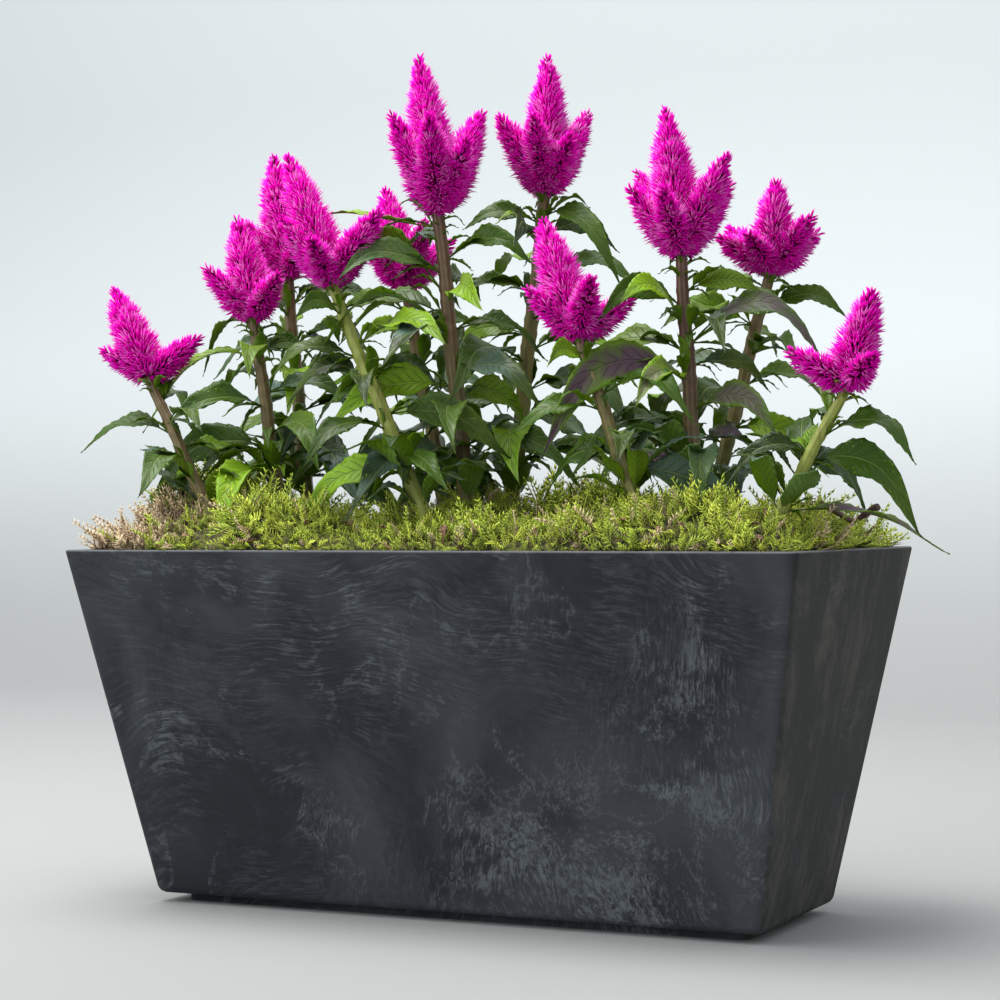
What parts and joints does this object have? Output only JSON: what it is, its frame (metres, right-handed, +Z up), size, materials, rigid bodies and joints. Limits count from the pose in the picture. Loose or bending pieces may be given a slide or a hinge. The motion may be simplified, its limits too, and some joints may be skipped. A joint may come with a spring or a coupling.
{
  "type": "planter box",
  "caption": "Tapered rectangular trough planter with a water reservoir, a lift-out perforated shelf, a drain plug and a planting of plumed celosia in moss.",
  "frame": {"origin": "on the ground, under the middle of the trough's foot", "axes": "+X along the trough, +Y from its front to its back wall with the drain bore, +Z up"},
  "size_m": [0.4992, 0.2249, 0.48],
  "materials": {
    "shell": "satin",
    "plug": "matte",
    "shelf": "matte",
    "soil": "matte",
    "moss": "matte",
    "twig": "matte",
    "stem": "satin",
    "leaf": "satin",
    "bloom": "matte"
  },
  "bodies": {
    "planter": {"planter_shell": "shell"},
    "drain_plug": {"drain_plug": "plug"},
    "drainage_shelf": {"drainage_shelf": "shelf"},
    "planting": {"potting_soil": "soil", "moss_bed": "moss", "twig": "twig", "stem_1": "stem", "stem_2": "stem", "stem_3": "stem", "stem_4": "stem", "stem_5": "stem", "stem_6": "stem", "stem_7": "stem", "stem_8": "stem", "stem_9": "stem", "stem_10": "stem", "stem_11": "stem", "leaves_1": "leaf", "leaves_2": "leaf", "leaves_3": "leaf", "leaves_4": "leaf", "leaves_5": "leaf", "leaves_6": "leaf", "leaves_7": "leaf", "leaves_8": "leaf", "leaves_9": "leaf", "leaves_10": "leaf", "leaves_11": "leaf", "bloom_1": "bloom", "bloom_2": "bloom", "bloom_3": "bloom", "bloom_4": "bloom", "bloom_5": "bloom", "bloom_6": "bloom", "bloom_7": "bloom", "bloom_8": "bloom", "bloom_9": "bloom", "bloom_10": "bloom", "bloom_11": "bloom"}
  },
  "joints": [
    {"name": "plug_pull", "type": "slide", "parent": "planter", "child": "drain_plug", "axis": [0, 0.9771, -0.213], "range_m": [0, 0.025]},
    {"name": "shelf_lift", "type": "slide", "parent": "planter", "child": "drainage_shelf", "axis": [0, 0, 1], "range_m": [0, 0.2]},
    {"name": "planting_lift", "type": "slide", "parent": "drainage_shelf", "child": "planting", "axis": [0, 0, 1], "range_m": [0, 0.2]}
  ]
}
